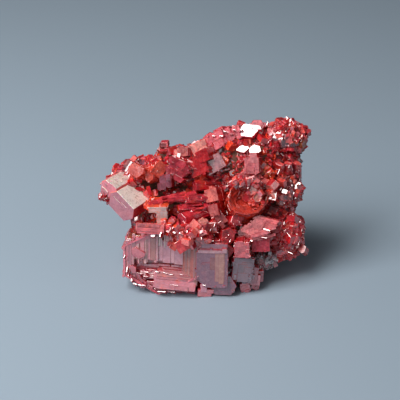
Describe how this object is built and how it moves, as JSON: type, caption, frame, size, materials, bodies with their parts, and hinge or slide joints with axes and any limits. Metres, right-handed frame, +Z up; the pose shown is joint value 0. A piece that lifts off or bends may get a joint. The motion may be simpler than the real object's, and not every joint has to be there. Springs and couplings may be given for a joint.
{
  "type": "vanadinite on matrix",
  "caption": "Loose mineral specimen: intergrown six-sided red crystals, some tabular and some hollow-ended, covering a lump of brown matrix that lies on its flat underside.",
  "frame": {"origin": "under the middle of the specimen's bounding box, on the surface it rests on", "axes": "+X along the length, to the viewer's right; -Y is the show side; +Z up"},
  "size_m": [0.0398, 0.0232, 0.0304],
  "materials": {
    "red_crystal": "glassy",
    "orange_crystal": "glassy",
    "mauve_crystal": "glassy, with a grey sheen",
    "cream_crystal": "frosted and striated",
    "grey_crystal": "pitted",
    "matrix_rock": "rough"
  },
  "bodies": {
    "root": {"tall_tablet": "mauve_crystal", "foot_bar": "mauve_crystal", "foot_blocks": "red_crystal", "hopper_crystal": "mauve_crystal", "grey_crystal": "grey_crystal", "right_foot_blocks": "red_crystal", "pink_block": "red_crystal", "magenta_block": "red_crystal", "slanted_plate": "red_crystal", "shelf_beam": "orange_crystal", "shelf_crystals": "orange_crystal", "upright_prism": "red_crystal", "standing_tablet": "cream_crystal", "lying_prism": "red_crystal", "orange_block": "orange_crystal", "long_plates": "red_crystal", "middle_block": "mauve_crystal", "middle_tablets": "mauve_crystal", "centre_cluster": "red_crystal", "left_block": "mauve_crystal", "pale_block": "cream_crystal", "tip_cluster": "red_crystal", "rim_block_1": "red_crystal", "rim_block_2": "orange_crystal", "rim_prism": "orange_crystal", "mauve_prism": "mauve_crystal", "fluted_barrel": "red_crystal", "cream_block": "cream_crystal", "red_cube": "red_crystal", "peach_block": "cream_crystal", "stepped_diamond": "grey_crystal", "stepped_blocks": "cream_crystal", "top_plate": "grey_crystal", "ridge_tablets": "grey_crystal", "knob_druse": "red_crystal", "right_edge_druse": "grey_crystal", "mauve_block": "mauve_crystal", "yellow_block": "orange_crystal", "striated_prisms": "red_crystal", "stacked_plates": "red_crystal", "cup_barrel": "orange_crystal", "right_druse": "red_crystal", "lobe_druse": "red_crystal", "pocket_crystal": "orange_crystal", "pocket_prism": "red_crystal", "back_tablets": "red_crystal", "back_barrel": "mauve_crystal", "back_blocks": "red_crystal", "back_foot_crystal": "mauve_crystal", "back_left_prism": "red_crystal", "left_flank_blocks": "red_crystal", "matrix": "matrix_rock"}
  },
  "joints": []
}
